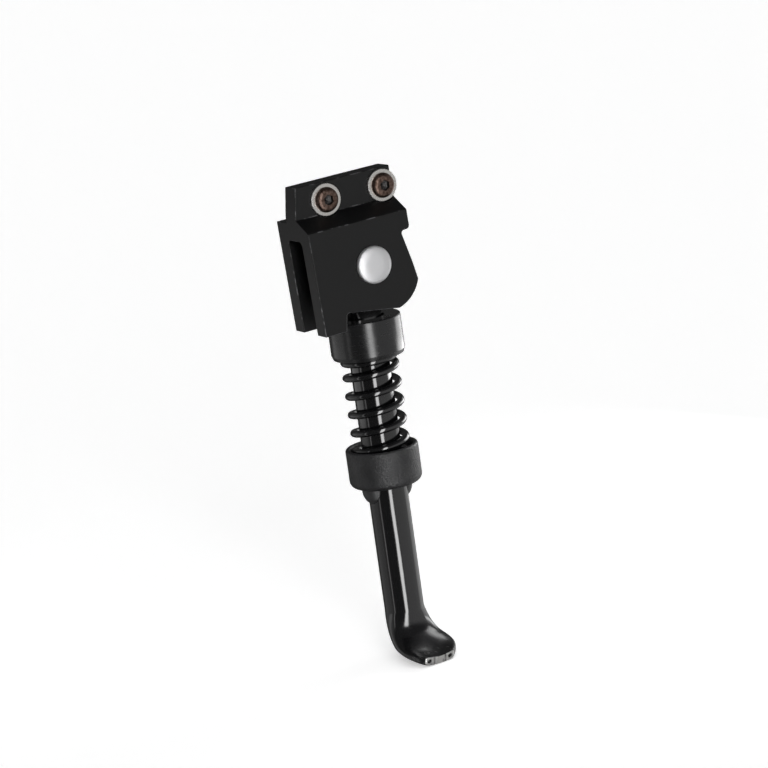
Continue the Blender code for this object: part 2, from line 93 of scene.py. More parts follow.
# %% A socket that can be calculated with
class Socket:
    """A node's output that adds, multiplies and compares by making Math nodes."""

    def __init__(self, tree, output=None):
        self.tree, self.output = tree, output

    def node(self, kind, settings=None, inputs=None, output=0):
        """A new node's output: its settings come first, then values or links for its inputs."""
        made = self.tree.nodes.new("ShaderNode" + kind)
        for name, value in (settings or {}).items():
            setattr(made, name, value)
        for name, value in (inputs or {}).items():
            if isinstance(value, Socket):
                self.tree.links.new(value.output, made.inputs[name])
            else:
                made.inputs[name].default_value = value
        return Socket(self.tree, made.outputs[output] if made.outputs else None)

    def maths(self, operation, *values):
        return self.node("Math", {"operation": operation}, dict(enumerate(values)))

    def __add__(self, other):
        return self.maths("ADD", self, other)

    def __sub__(self, other):
        return self.maths("SUBTRACT", self, other)

    def __rsub__(self, other):
        return self.maths("SUBTRACT", other, self)

    def __mul__(self, other):
        return self.maths("MULTIPLY", self, other)

    def __pow__(self, other):
        return self.maths("POWER", self, other)

    def __abs__(self):
        return self.maths("ABSOLUTE", self)

    def __neg__(self):
        return self.maths("MULTIPLY", self, -1.0)

    __radd__, __rmul__ = __add__, __mul__

    def step(self, low, high):
        """0 at low and 1 at high, smooth between them; high may be the lower one."""
        inputs = {"Value": self, "From Min": low, "From Max": high}
        return self.node("MapRange", {"interpolation_type": "SMOOTHSTEP"}, inputs)

    def mix(self, first, second):
        """The first colour where this mask is 0, and the second where it is 1."""
        return self.node("Mix", {"data_type": "RGBA"}, {"Factor": self, 6: first, 7: second}, output=2)

    def stretched(self, scale):
        """This vector with each axis scaled by itself."""
        return self.node("Mapping", None, {"Vector": self, "Scale": scale}, output="Vector")

    def noise(self, scale, detail=2.0, roughness=0.5):
        inputs = {"Vector": self, "Scale": scale, "Detail": detail, "Roughness": roughness}
        return self.node("TexNoise", None, inputs, output="Fac")

    def split(self):
        return [self.node("SeparateXYZ", None, {"Vector": self}, output=name) for name in "XYZ"]

    def seen_directly(self):
        """1 for what the camera sees, also through glass, and 0 for what lights or is mirrored."""
        rays = [self.node("LightPath", output=f"Is {kind} Ray") for kind in ("Camera", "Transmission")]
        return self.maths("MAXIMUM", *rays)


# %% [markdown]
# ## Studio
# The stand is black and shiny, so what is seen of it is mostly what it mirrors. A tall bright panel
# just right of the camera draws the clear streak down each round piece, a thin one at the left
# draws a second, fainter streak, and a bright wall behind at the right lights the right-hand edges.
# Lamps could do this, but the world itself can be bright in some directions and dim in others, and
# then nothing stands in the way.

# %% Panels of light
# Azimuth, half-width, lowest and highest elevation and softness in degrees, then brightness
PANELS = [
    (-14.8, 8.3, -50.0, 36.0, 2.0, 7.2),  # tall panel beside the camera
    (-86.0, 3.0, -50.0, 30.0, 2.0, 1.1),  # thin panel at the left
    (40.0, 45.0, -50.0, 24.0, 12.0, 0.42),  # wide dim wall at the right
    (106.0, 22.0, -50.0, 22.0, 6.0, 0.85),  # wall behind at the right
    (-128.0, 32.0, -50.0, 30.0, 10.0, 0.25),  # dim wall behind at the left
]
AMBIENT = 0.05
MIRRORED = 0.02  # how much of the pale surroundings the black enamel mirrors

world = bpy.data.worlds.new("studio")
world.use_nodes = True
bpy.context.scene.world = world
world.node_tree.nodes.clear()
sky = Socket(world.node_tree)
x, y, z = sky.node("TexCoord", output="Generated").split()
azimuth = sky.maths("DEGREES", sky.maths("ARCTAN2", x, -y))
elevation = sky.maths("DEGREES", sky.maths("ARCSINE", z))
light = sky.node("LightPath", output="Is Glossy Ray") * MIRRORED + AMBIENT
for middle, half, low, high, soft, bright in PANELS:
    across = abs(azimuth - middle).step(half + soft, half - soft)
    along = abs(elevation - (low + high) / 2).step((high - low) / 2 + soft, (high - low) / 2 - soft)
    light = light + across * along * bright
shown = sky.seen_directly()
strength = light * (1.0 - shown) + shown
glow = sky.node("Background", None, {"Color": (1.0, 1.0, 1.0, 1.0), "Strength": strength})
sky.node("OutputWorld", None, {"Surface": glow})
print("panels of light:", len(PANELS))

# %% [markdown]
# ## Floor and overhead light
# The floor is a plain pale sheet under the foot. A wide soft lamp from above gives it its white and
# gives the foot its faint shadow. Neither shows in the enamel: the real stand mirrored a dark room,
# not a white floor.

# %% Floor and soft lamp
FLOOR_HEIGHT = -199.6 * MM
LAMP_STRENGTH, LAMP_WIDTH = 1.3, math.radians(70.0)
bpy.ops.object.select_all(action="DESELECT")
bpy.ops.mesh.primitive_plane_add(size=60.0, location=(0.0, 0.0, FLOOR_HEIGHT))
floor = bpy.context.object
floor.name = "floor"
floor.visible_glossy = False

sun_data = bpy.data.lights.new("overhead", "SUN")
sun_data.energy = LAMP_STRENGTH
sun_data.angle = LAMP_WIDTH
sun = bpy.data.objects.new("overhead", sun_data)
sun.rotation_euler = (math.radians(25.0), math.radians(-12.0), 0.0)
sun.visible_glossy = False
bpy.context.scene.collection.objects.link(sun)
print(f"floor at {FLOOR_HEIGHT / MM:.1f} mm")

# %% [markdown]
# Unlike the walls of light, which look the same from every height, a near card lights just one
# stretch of the stand. Two stand close behind it, low enough that only the collar mirrors them, and
# a small one hangs over the foot, where it draws the soft highlight on the shoulder of the shoe.

# %% Near cards
COLLAR_MIDDLE = Vector((-1.6, -3.0, -61.0)) * MM
SHOE_SHOULDER = Vector((1.0, -17.0, -190.5)) * MM


def add_card(name, middle, distance, azimuth, elevation, width, height, brightness):
    """A white card that faces a point from a distance, at an azimuth and elevation in degrees."""
    turn, rise = math.radians(azimuth), math.radians(elevation)
    away = Vector((math.sin(turn) * math.cos(rise), -math.cos(turn) * math.cos(rise), math.sin(rise)))
    data = bpy.data.lights.new(name, "AREA")
    data.shape, data.size, data.size_y = "RECTANGLE", width, height
    data.energy = brightness * math.pi * width * height
    card = bpy.data.objects.new(name, data)
    card.location = middle + away * distance
    card.rotation_euler = (-away).to_track_quat("-Z", "Y").to_euler()
    card.visible_camera = False
    bpy.context.scene.collection.objects.link(card)


# Name, what it lights, distance, azimuth, elevation, width, height and brightness
CARDS = [
    ("right_card", COLLAR_MIDDLE, 0.35, 104.0, -13.0, 0.27, 0.06, 2.9),
    ("left_card", COLLAR_MIDDLE, 0.35, -130.0, -13.0, 0.36, 0.06, 0.45),
    ("shoe_card", SHOE_SHOULDER, 0.13, 100.0, 46.0, 0.07, 0.044, 3.4),
]
for settings in CARDS:
    add_card(*settings)
print("near cards:", len(CARDS))

# %% [markdown]
# ## Finishes
# Each finish starts as one plain shader whose even values are set directly. Only what varies over
# the surface is fed in: colour, roughness and a bump. The patterns read the object's own
# coordinates in metres, so a grain of half a millimetre is a scale of about 2000.


# %% A finish to start from
def start_finish(name, colour, roughness, metallic=0.0, specular=0.5):
    """A material with even values, its shader, and the object's coordinates as a vector."""
    made = bpy.data.materials.new(name)
    made.use_nodes = True
    shader = made.node_tree.nodes["Principled BSDF"]
    shader.inputs["Base Color"].default_value = (*colour, 1.0)
    shader.inputs["Roughness"].default_value = roughness
    shader.inputs["Metallic"].default_value = metallic
    shader.inputs["Specular IOR Level"].default_value = specular
    return made, shader, Socket(made.node_tree).node("TexCoord", output="Object")


def feed(shader, name, value):
    value.tree.links.new(value.output, shader.inputs[name])


def feed_bump(shader, height, depth):
    """Feeds a bump whose full height is depth, in metres."""
    inputs = {"Height": height, "Distance": depth, "Strength": 1.0}
    feed(shader, "Normal", height.node("Bump", None, inputs))


# %% Floor finish
FLOOR_GLOW = 0.46  # brings the floor up to white where the camera sees it
pale, shader, place = start_finish("pale_floor", (0.9, 0.9, 0.9), 1.0, specular=0.0)
shader.inputs["Emission Color"].default_value = (1.0, 1.0, 1.0, 1.0)
glow = place.node("Emission", None, {"Strength": place.seen_directly() * FLOOR_GLOW})
both = place.node("AddShader", None, {0: Socket(place.tree, shader.outputs[0]), 1: glow})
place.tree.links.new(both.output, place.tree.nodes["Material Output"].inputs["Surface"])
floor.data.materials.append(pale)
print("floor finish:", pale.name)

# %% [markdown]
# ## Modelling by hand, in code
# Every piece starts as a primitive at its place and is shaped with the same tools as by hand. The
# operators act on all that is selected, so one helper first leaves a single piece selected, and
# another opens it for editing with nothing chosen.


# %% Choosing and editing
def only(piece):
    bpy.ops.object.select_all(action="DESELECT")
    piece.select_set(True)
    bpy.context.view_layer.objects.active = piece


@contextmanager
def editing(piece, mode="VERT"):
    """Opens one piece in edit mode, with nothing chosen."""
    only(piece)
    bpy.ops.object.mode_set(mode="EDIT")
    bpy.ops.mesh.select_mode(type=mode)
    bpy.ops.mesh.select_all(action="DESELECT")
    yield
    bpy.ops.object.mode_set(mode="OBJECT")


def choose_faces(piece, test):
    """Chooses the faces whose middle and normal pass the test, in edit mode."""
    form = bmesh.from_edit_mesh(piece.data)
    for face in form.faces:
        face.select_set(test(face.calc_center_median(), face.normal))
    bmesh.update_edit_mesh(piece.data)


def settle(piece, place=None):
    """Puts a piece at its place and works that place into its mesh."""
    if place is not None:
        piece.matrix_world = place @ piece.matrix_world
    only(piece)
    bpy.ops.object.transform_apply(location=True, rotation=True, scale=True)


def apply_step(piece, name, kind, **settings):
    """Adds a modifier with its settings and applies it."""
    step = piece.modifiers.new(name, kind)
    for setting, value in settings.items():
        setattr(step, setting, value)
    only(piece)
    bpy.ops.object.modifier_apply(modifier=step.name)


def combine(piece, other, operation="DIFFERENCE"):
    """Cuts with, joins on or keeps what is shared with another piece, which is then gone."""
    apply_step(piece, operation.title(), "BOOLEAN", operation=operation, object=other, solver="EXACT")
    bpy.data.objects.remove(other)


def tell(piece):
    size = [round(side / MM, 1) for side in piece.dimensions]
    print(f"{piece.name}: {len(piece.data.polygons)} faces, {size} mm")


def smooth(piece, angle=30.0):
    """Shades a piece smooth but for its sharp edges, with flat faces kept flat up to their rims."""
    only(piece)
    bpy.ops.object.shade_smooth_by_angle(angle=math.radians(angle))
    apply_step(piece, "Flat faces", "WEIGHTED_NORMAL", keep_sharp=True, weight=60)
    tell(piece)


# %% [markdown]
# ## Outlines
# Turned and milled pieces begin with an outline. By hand it is drawn from a single vertex, extruded
# from corner to corner. Round corners are worked out first, as the short runs that an arc is made
# of.


# %% Drawing an outline
def arc(centre, radius, start, end, steps=8):
    """Points on a circle about centre, from the start angle to the end angle in degrees."""
    angles = [math.radians(start + (end - start) * i / steps) for i in range(steps + 1)]
    return [(centre[0] + radius * math.cos(a), centre[1] + radius * math.sin(a)) for a in angles]


def oval(centre, radii, start, end, steps):
    """Points on an oval, with one radius across and one along."""
    circle = arc((0.0, 0.0), 1.0, start, end, steps)
    return [(centre[0] + radii[0] * x, centre[1] + radii[1] * y) for x, y in circle]


def fillet(before, corner, after, radius, steps=6):
    """An arc of the radius that rounds a corner between its two neighbours."""
    corner = Vector(corner)
    into = (Vector(before) - corner).normalized()
    out = (Vector(after) - corner).normalized()
    half = into.angle(out) / 2
    centre = corner + (into + out).normalized() * radius / math.sin(half)
    start = corner + into * radius / math.tan(half) - centre
    end = corner + out * radius / math.tan(half) - centre
    turn = start.angle_signed(end)
    return [tuple(centre + Matrix.Rotation(-turn * i / steps, 2) @ start) for i in range(steps + 1)]


def draw_outline(name, points):
    """A single vertex at the first point, extruded to each next one."""
    bpy.ops.object.select_all(action="DESELECT")
    bpy.ops.mesh.primitive_plane_add(size=MM, location=points[0])
    piece = bpy.context.object
    piece.name = name
    bpy.ops.object.mode_set(mode="EDIT")
    bpy.ops.mesh.select_mode(type="VERT")
    bpy.ops.mesh.merge(type="CENTER")
    for before, after in zip(points, points[1:]):
        move = Vector(after) - Vector(before)
        bpy.ops.mesh.extrude_region_move(TRANSFORM_OT_translate={"value": move})
    bpy.ops.object.mode_set(mode="OBJECT")
    settle(piece)
    return piece


def saw_off(height, side):
    """Drops all that lies above a height (side 1) or below it (side -1) and closes the cut, in edit mode."""
    bpy.ops.mesh.select_all(action="SELECT")
    plane = {"plane_co": (0.0, 0.0, height), "plane_no": (0.0, 0.0, side)}
    bpy.ops.mesh.bisect(**plane, use_fill=True, clear_outer=True, threshold=0.0001 * MM)


def tidy_mesh(piece):
    """Merges doubles and turns every face outwards."""
    with editing(piece):
        bpy.ops.mesh.select_all(action="SELECT")
        bpy.ops.mesh.remove_doubles(threshold=0.001 * MM)
        bpy.ops.mesh.normals_make_consistent(inside=False)


def thicken_outline(name, points, move):
    """Fills an outline and extrudes it into a solid."""
    piece = draw_outline(name, points)
    with editing(piece):
        bpy.ops.mesh.select_all(action="SELECT")
        bpy.ops.mesh.edge_face_add()
        bpy.ops.mesh.extrude_region_move(TRANSFORM_OT_translate={"value": move})
    tidy_mesh(piece)
    return piece


def turn(name, outline, steps=96):
    """Spins an outline of (radius, height) once round Z, as on a lathe."""
    if outline[0][0] > 0.0 and outline[-1][0] > 0.0:
        outline = [*outline, outline[0]]
    piece = draw_outline(name, [(radius, 0.0, height) for radius, height in outline])
    with editing(piece):
        bpy.ops.mesh.select_all(action="SELECT")
        bpy.ops.mesh.spin(steps=steps, angle=2 * math.pi, center=(0.0, 0.0, 0.0), axis=(0.0, 0.0, 1.0))
    tidy_mesh(piece)
    return piece


# Turns a piece modelled round Z so that its top points outwards, along -Y
OUTWARDS = Matrix.Rotation(math.radians(90.0), 4, "X")


def dress(piece, body, node, finish):
    """Gives a piece its finish and its body, and hides the node it stands for."""
    piece.data.materials.clear()
    piece.data.materials.append(finish)
    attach(piece, body)
    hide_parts(node)
    print(f"{piece.name} rides on the {body} in {finish.name}")


# %% [markdown]
# ## The milled bracket
# The real bracket is a piece of aluminium extrusion, sawn off and milled: one section along its
# length, and one outline seen from the side. It could be box-modelled face by face, but cutting one
# extruded outline with the other is how the real one gets its shape, and every milled edge comes
# out true.

# %% Bracket sizes
PIVOT = Vector((0.0, -4.6, -29.5)) * MM
FRONT_FACE, REAR_FACE = -18.1 * MM, 8.9 * MM
SLOT_FRONT, SLOT_BACK = -10.6 * MM, 1.4 * MM
SLOT_TOP, SLOT_CORNER = -14.5 * MM, 2.5 * MM
TAB_FACE, TAB_TOP = -9.0 * MM, 7.5 * MM
FOLD, CHEEK_TOP, LEDGE = -5.6 * MM, -10.6 * MM, -7.0 * MM
BASE = -53.8 * MM
FRONT_END, REAR_END = -26.8 * MM, 19.6 * MM
BROKEN_EDGE = 0.3 * MM
CAM_RADIUS = 15.4 * MM
BORE_RADIUS = 4.3 * MM  # of the eye, the cheeks and the nut


def bracket_section():
    """The extrusion's section in Y and Z."""
    slot = arc((SLOT_FRONT + SLOT_CORNER, SLOT_TOP - SLOT_CORNER), SLOT_CORNER, 180, 90)
    slot += arc((SLOT_BACK - SLOT_CORNER, SLOT_TOP - SLOT_CORNER), SLOT_CORNER, 90, 0)
    outside = [(SLOT_BACK, BASE), (REAR_FACE, BASE), (REAR_FACE, LEDGE), (0.0, LEDGE), (0.0, TAB_TOP)]
    outside += [(TAB_FACE, TAB_TOP), (TAB_FACE, FOLD), (FRONT_FACE, CHEEK_TOP), (FRONT_FACE, BASE)]
    return [(SLOT_FRONT, BASE), *slot, *outside, (SLOT_FRONT, BASE)]


def bracket_outline():
    """The milled outline in X and Z: stop lug, notch, cam corner, relief and rear end."""
    reach, middle, spread = 7.6 * MM, -47.5, 28.5
    across, down = reach * math.cos(math.radians(middle)), reach * math.sin(math.radians(middle))
    cam_centre = (across, PIVOT.z + down)
    cam = arc(cam_centre, CAM_RADIUS, middle - spread, middle + spread, 40)
    lug_foot = (-16.9 * MM, BASE)
    notch = (-15.4 * MM, -46.3 * MM)
    relief_low, relief_high = (18.4 * MM, -32.7 * MM), (15.3 * MM, -19.0 * MM)
    rear_low = (REAR_END, -18.7 * MM)
    return [
        (FRONT_END, BASE),
        lug_foot,
        *fillet(lug_foot, notch, cam[0], 1.2 * MM),
        *cam,
        relief_low,
        *fillet(relief_low, relief_high, rear_low, 1.2 * MM),
        *fillet(relief_high, rear_low, (REAR_END, TAB_TOP), 1.6 * MM),
        (REAR_END, TAB_TOP),
        (FRONT_END + 2.2 * MM, TAB_TOP),
        (FRONT_END, FOLD + 1.0 * MM),
        (FRONT_END, BASE),
    ]


print(f"bracket {(REAR_END - FRONT_END) / MM:.1f} mm long and {(REAR_FACE - FRONT_FACE) / MM:.1f} mm deep")

# %% Extruding the section and milling the outline
section = [(FRONT_END - 5 * MM, across, height) for across, height in bracket_section()]
bracket = thicken_outline("milled_bracket", section, (60 * MM, 0.0, 0.0))
outline = [(along, FRONT_FACE - 5 * MM, height) for along, height in bracket_outline()]
combine(bracket, thicken_outline("side_outline", outline, (0.0, 40 * MM, 0.0)), "INTERSECT")
tidy_mesh(bracket)
for name in ("body", "edges"):
    bracket.data.materials.append(bpy.data.materials.new(name))
settings = {"width": BROKEN_EDGE, "segments": 3, "material": 1}
apply_step(bracket, "Broken edges", "BEVEL", limit_method="ANGLE", angle_limit=math.radians(40), **settings)
print("bracket faces:", len(bracket.data.polygons))

# %% [markdown]
# The pivot bore and the two screw holes are drilled after the edges are broken. Each screw also has
# a shallow round seat, faced into the tab so that its flange lies flat. A cutter with both steps,
# turned like any other piece, cuts hole and seat at once.

# %% Drilling the bracket
SCREW_X = (-12.0 * MM, 14.6 * MM)
SCREW_SEAT = -8.8 * MM
reach = 40 * MM
seat_radius, hole_radius = 7.2 * MM, 3.3 * MM
for x in SCREW_X:
    seat = [(0.0, reach), (seat_radius, reach), (seat_radius, -SCREW_SEAT)]
    cutter = turn("screw_hole", [*seat, (hole_radius, -SCREW_SEAT), (hole_radius, -reach), (0.0, -reach)])
    settle(cutter, Matrix.Translation((x, 0.0, 0.0)) @ OUTWARDS)
    combine(bracket, cutter)
bore = turn("pivot_bore", [(0.0, reach), (BORE_RADIUS, reach), (BORE_RADIUS, -reach), (0.0, -reach)])
settle(bore, Matrix.Translation(PIVOT) @ OUTWARDS)
combine(bracket, bore)
smooth(bracket)
edge = bracket.data.attributes.new("edge", "FLOAT", "FACE")
edge.data.foreach_set("value", [float(face.material_index) for face in bracket.data.polygons])
bracket.data.polygons.foreach_set("material_index", [0] * len(bracket.data.polygons))
print("faces on broken edges:", sum(round(item.value) for item in edge.data))

# %% [markdown]
# The bracket is anodised satin black. Anodising keeps the metal's fine grain, and drawing the bar
# through its die leaves faint lines along it, so the roughness and a very low bump come from one
# even noise and one that is stretched along X. Handling rubs the black off its broken edges first.
# The bevel gave its new faces a material of their own, which was kept above as an attribute: where
# it is 1, a patchy mask lets metal through, and more so towards the cam corner, where the collar
# rubs.

# %% Bracket finish
black_anodised, shader, place = start_finish("black_anodised", (0.0015, 0.0015, 0.002), 0.4, specular=0.42)
grain = place.noise(2600.0, 3.0, 0.6)
lines = place.stretched((0.03, 1.0, 1.0)).noise(2200.0, 2.0)
on_edge = place.node("Attribute", {"attribute_name": "edge"}, output="Fac")
x, y, z = place.split()
rubbed = (x * 0.6 - z * 0.8).step(18.0 * MM, 34.0 * MM)
worn = on_edge * (place.noise(260.0, 4.0, 0.6) + rubbed * 0.16).step(0.5, 0.66)
black = grain.step(0.35, 0.75).mix((0.0007, 0.0007, 0.0009, 1.0), (0.002, 0.002, 0.0023, 1.0))
feed(shader, "Base Color", worn.mix(black, (0.13, 0.13, 0.135, 1.0)))
feed(shader, "Metallic", worn * 0.8)
feed(shader, "Roughness", grain * 0.12 + lines * 0.1 + 0.33)
feed_bump(shader, grain * 0.6 + lines * 0.4, 0.012 * MM)
dress(bracket, "bracket", "side_stand_bracket", black_anodised)

# %% [markdown]
# ## Threads
# A real thread is a ridge wound round the shank. One ridge is drawn as a short zigzag and wound
# with the Screw modifier, a little longer than needed. A turned blank with a pointed end then trims
# it, so that the crests are flat and the last turn runs out on the chamfer, as on a rolled thread.


# %% Winding a thread
def thread(name, width, pitch, top, length, point=0.8 * MM):
    """A threaded shank round Z, from its top down to its chamfered end."""
    crest = width / 2
    root = crest - 0.6 * pitch
    turns = math.ceil(length / pitch) + 3
    low = top - length - 1.5 * pitch
    tip = crest + 0.02 * MM
    ridge = [(root, 0.0), (root, 0.12), (tip, 0.44), (tip, 0.56), (root, 0.88), (root, 1.0)]
    piece = draw_outline(name, [(radius, 0.0, low + part * pitch) for radius, part in ridge])
    settings = {"screw_offset": pitch, "iterations": turns, "steps": 32, "render_steps": 32}
    apply_step(piece, "Winding", "SCREW", axis="Z", **settings)
    tidy_mesh(piece)
    with editing(piece):
        saw_off(top + 0.3 * pitch, 1.0)
        saw_off(low + 1.2 * pitch, -1.0)
    tidy_mesh(piece)
    end = top - length
    blank = [(0.0, top), (crest, top), (crest, end + point), (crest - point, end), (0.0, end)]
    combine(piece, turn(f"{name}_blank", blank), "INTERSECT")
    return piece


# %% [markdown]
# ## Flanged screws
# Two low button-head screws hold the bracket on its frame. Their flange stayed bright while the
# dome is discoloured, partly by grime and partly by a painted reflection. Each has a hexagonal
# recess, painted near black as shade. The head is turned, the recess is cut with a six-sided bar
# that ends in the cone of a drill, and the thread is joined on below.

# %% Screw heads and shanks
SCREW_BASE = SCREW_SEAT - 0.3 * MM
HEAD_HEIGHT, DOME_RADIUS = 3.3 * MM, 5.25 * MM
FLANGE_HEIGHT, FLANGE_RADIUS = 1.0 * MM, 6.8 * MM
NECK_RADIUS, NECK_DEPTH = 2.8 * MM, 1.1 * MM
KEY_WIDTH, KEY_DEPTH = 4.0 * MM, 2.0 * MM


def make_screw(name):
    """A flanged screw round Z, with the underside of its flange at height 0."""
    flat = 3.1 * MM
    dome = oval((flat, FLANGE_HEIGHT), (DOME_RADIUS - flat, HEAD_HEIGHT - FLANGE_HEIGHT), 90, 0, 10)
    corner = (FLANGE_RADIUS, FLANGE_HEIGHT)
    rim = fillet((DOME_RADIUS, FLANGE_HEIGHT), corner, (FLANGE_RADIUS, 0.0), 0.35 * MM, 3)
    neck = [(FLANGE_RADIUS, 0.0), (NECK_RADIUS, 0.0), (NECK_RADIUS, -NECK_DEPTH), (0.0, -NECK_DEPTH)]
    screw = turn(name, [(0.0, HEAD_HEIGHT), *dome, *rim, *neck])
    combine(screw, thread("screw_thread", 6.0 * MM, 1.0 * MM, -0.4 * MM, 19.6 * MM), "UNION")
    bpy.ops.object.select_all(action="DESELECT")
    bpy.ops.mesh.primitive_cylinder_add(
        vertices=6, radius=KEY_WIDTH / math.sqrt(3.0), depth=2 * KEY_DEPTH, location=(0.0, 0.0, HEAD_HEIGHT)
    )
    key = bpy.context.object
    settle(key)
    with editing(key, "FACE"):
        choose_faces(key, lambda middle, normal: normal.z < -0.9)
        bpy.ops.mesh.extrude_region_move(TRANSFORM_OT_translate={"value": (0.0, 0.0, -0.6 * MM)})
        bpy.ops.transform.resize(value=(0.15, 0.15, 1.0))
    combine(screw, key)
    smooth(screw)
    return screw


first = make_screw("flanged_screw_front")
only(first)
bpy.ops.object.duplicate()
second = bpy.context.object
second.name = "flanged_screw_rear"
for screw, x in zip((first, second), SCREW_X):
    settle(screw, Matrix.Translation((x, SCREW_BASE, 0.0)) @ OUTWARDS)

# %% [markdown]
# The screws' colour depends on how far a point lies from the screw's own axis. Both screws stand at
# the same distance from a plane midway between them, so folding the X coordinate about that plane
# lets one material serve both.

# %% Screw finish
screw_steel, shader, place = start_finish("screw_steel", (0.62, 0.60, 0.57), 0.3, metallic=1.0)
x, y, z = place.split()
middle, half = sum(SCREW_X) / 2, (SCREW_X[1] - SCREW_X[0]) / 2
fold = abs(x - middle) - half
radius = (fold * fold + z * z) ** 0.5
dirt = place.noise(900.0, 4.0, 0.65)
on_dome = radius.step(5.45 * MM, 5.15 * MM) * y.step(SCREW_BASE - 0.95 * MM, SCREW_BASE - 1.1 * MM)
head_top = SCREW_BASE - HEAD_HEIGHT
# The hexagonal recess is painted near black and not metallic: painted shade in its hollow.
recess_painted_shade = radius.step(2.45 * MM, 2.35 * MM) * y.step(head_top + 0.1 * MM, head_top + 0.4 * MM)
# The dome's brown is partly grime and partly a painted reflection.
grime_and_painted_reflection = dirt.step(0.3, 0.7).mix((0.06, 0.036, 0.028, 1.0), (0.20, 0.14, 0.115, 1.0))
plated = on_dome.mix((0.74, 0.72, 0.69, 1.0), grime_and_painted_reflection)
feed(shader, "Base Color", recess_painted_shade.mix(plated, (0.012, 0.009, 0.008, 1.0)))
feed(shader, "Metallic", 1.0 - recess_painted_shade)
feed(shader, "Roughness", on_dome * 0.2 + dirt * 0.15 + 0.2)
feed_bump(shader, dirt, 0.02 * MM)
for screw, node in ((first, "mount_screw_front"), (second, "mount_screw_rear")):
    dress(screw, "bracket", node, screw_steel)

# %% [markdown]
# ## Pivot bolt and nut
# The pivot bolt has a smooth low dome and no recess, because it is pressed and held by its nut. The
# nut behind the rear cheek is a hexagon whose corners are turned to a chamfer, with a locking ring
# on top.

# %% Pivot bolt
BOLT_HEAD_RADIUS, BOLT_HEAD_HEIGHT, RIM_HEIGHT = 7.8 * MM, 2.4 * MM, 0.8 * MM
SHANK_RADIUS, SHANK_LENGTH = 3.95 * MM, 26.0 * MM
flat = 3.0 * MM
dome = oval((flat, RIM_HEIGHT), (BOLT_HEAD_RADIUS - flat, BOLT_HEAD_HEIGHT - RIM_HEIGHT), 90, 0, 12)
shank = [(SHANK_RADIUS, 0.0), (SHANK_RADIUS, -SHANK_LENGTH), (0.0, -SHANK_LENGTH)]
bolt = turn("domed_pivot_bolt", [(0.0, BOLT_HEAD_HEIGHT), *dome, (BOLT_HEAD_RADIUS, 0.0), *shank])
combine(bolt, thread("bolt_thread", 8.0 * MM, 1.25 * MM, -25.8 * MM, 11.5 * MM), "UNION")
settle(bolt, Matrix.Translation((PIVOT.x, FRONT_FACE - 0.3 * MM, PIVOT.z)) @ OUTWARDS)
smooth(bolt)

# %% Locking nut
NUT_BASE = REAR_FACE + 0.3 * MM
NUT_WIDTH, NUT_HEIGHT, RING_TOP = 13.0 * MM, 6.2 * MM, 8.0 * MM
bpy.ops.object.select_all(action="DESELECT")
bpy.ops.mesh.primitive_cylinder_add(
    vertices=6,
    radius=NUT_WIDTH / math.sqrt(3.0),
    depth=NUT_HEIGHT,
    location=(0.0, 0.0, NUT_HEIGHT / 2),
    rotation=(0.0, 0.0, math.pi / 6),
)
nut = bpy.context.object
nut.name = "locking_nut"
settle(nut)
face, corner, cut = 6.3 * MM, 7.5 * MM, 0.75 * MM
low_half = [(0.0, 0.0), (face, 0.0), (corner, cut)]
high_half = [(corner, NUT_HEIGHT - cut), (face, NUT_HEIGHT), (0.0, NUT_HEIGHT)]
combine(nut, turn("nut_chamfer", [*low_half, *high_half]), "INTERSECT")
ring_low, ring_high = (5.5 * MM, 5.0 * MM), (5.5 * MM, RING_TOP)
ring = [(0.0, 5.0 * MM), ring_low, *fillet(ring_low, ring_high, (0.0, RING_TOP), 0.8 * MM), (0.0, RING_TOP)]
combine(nut, turn("nut_ring", ring), "UNION")
combine(nut, turn("nut_bore", [(0.0, reach), (BORE_RADIUS, reach), (BORE_RADIUS, -reach), (0.0, -reach)]))
settle(nut, Matrix.Translation((PIVOT.x, NUT_BASE, PIVOT.z)) @ OUTWARDS.inverted())
smooth(nut)

# %% Bright finishes
bright_steel, shader, place = start_finish("bright_steel", (0.80, 0.80, 0.81), 0.6, metallic=1.0)
haze = place.noise(300.0, 3.0)
feed(shader, "Roughness", haze * 0.2 + 0.5)
feed_bump(shader, place.noise(2400.0, 2.0), 0.006 * MM)
dress(bolt, "bracket", "pivot_bolt", bright_steel)

zinc, shader, place = start_finish("zinc", (0.60, 0.60, 0.60), 0.35, metallic=1.0)
haze = place.noise(700.0, 4.0, 0.6)
feed(shader, "Roughness", haze * 0.25 + 0.25)
feed(shader, "Base Color", haze.step(0.3, 0.7).mix((0.50, 0.51, 0.53, 1.0), (0.66, 0.65, 0.62, 1.0)))
feed_bump(shader, haze, 0.01 * MM)
dress(nut, "bracket", "pivot_nut", zinc)

# %% [markdown]
# ## The pressed leg
# The leg starts as a round tube. Its top is pressed flat into an eye, and its foot is bent outwards
# and pressed into a dished shoe. A cylinder is cut into rings, and each ring is then moved to its
# own section of the leg. Extruding and scaling ring by ring would do as well, but the dished shoe
# needs each point in its place.

# %% Sections of the leg
LEAN = math.radians(2.0)
ON_LEG = Matrix.Translation(PIVOT) @ Matrix.Rotation(LEAN, 4, "Y")
LEG_INSET = 1.8 * MM
TUBE = 8.4 * MM
EYE, EYE_RADIUS = 5.7 * MM, 9.4 * MM
SOLE, BEND_START = 168.0 * MM, 150.0 * MM
FOOT_REACH, FOOT_TURN = 25.8 * MM, math.radians(75.0)
FOOT_RINGS = 40
TOE_ROUND = 0.5 * MM

# Drop, inset, half-width, half-thickness and squareness, from the pivot to where the tube is round
UPPER = [
    (0.0, 0.0, EYE_RADIUS, EYE, 0.35),
    (13.8 * MM, 0.0, EYE_RADIUS, EYE, 0.35),
    (23.15 * MM, 0.6 * MM, 7.0 * MM, 5.1 * MM, 0.6),
    (25.8 * MM, 1.2 * MM, 7.7 * MM, 6.7 * MM, 0.8),
    (28.6 * MM, LEG_INSET, TUBE, TUBE, 1.0),
]
UPPER_RINGS = 15
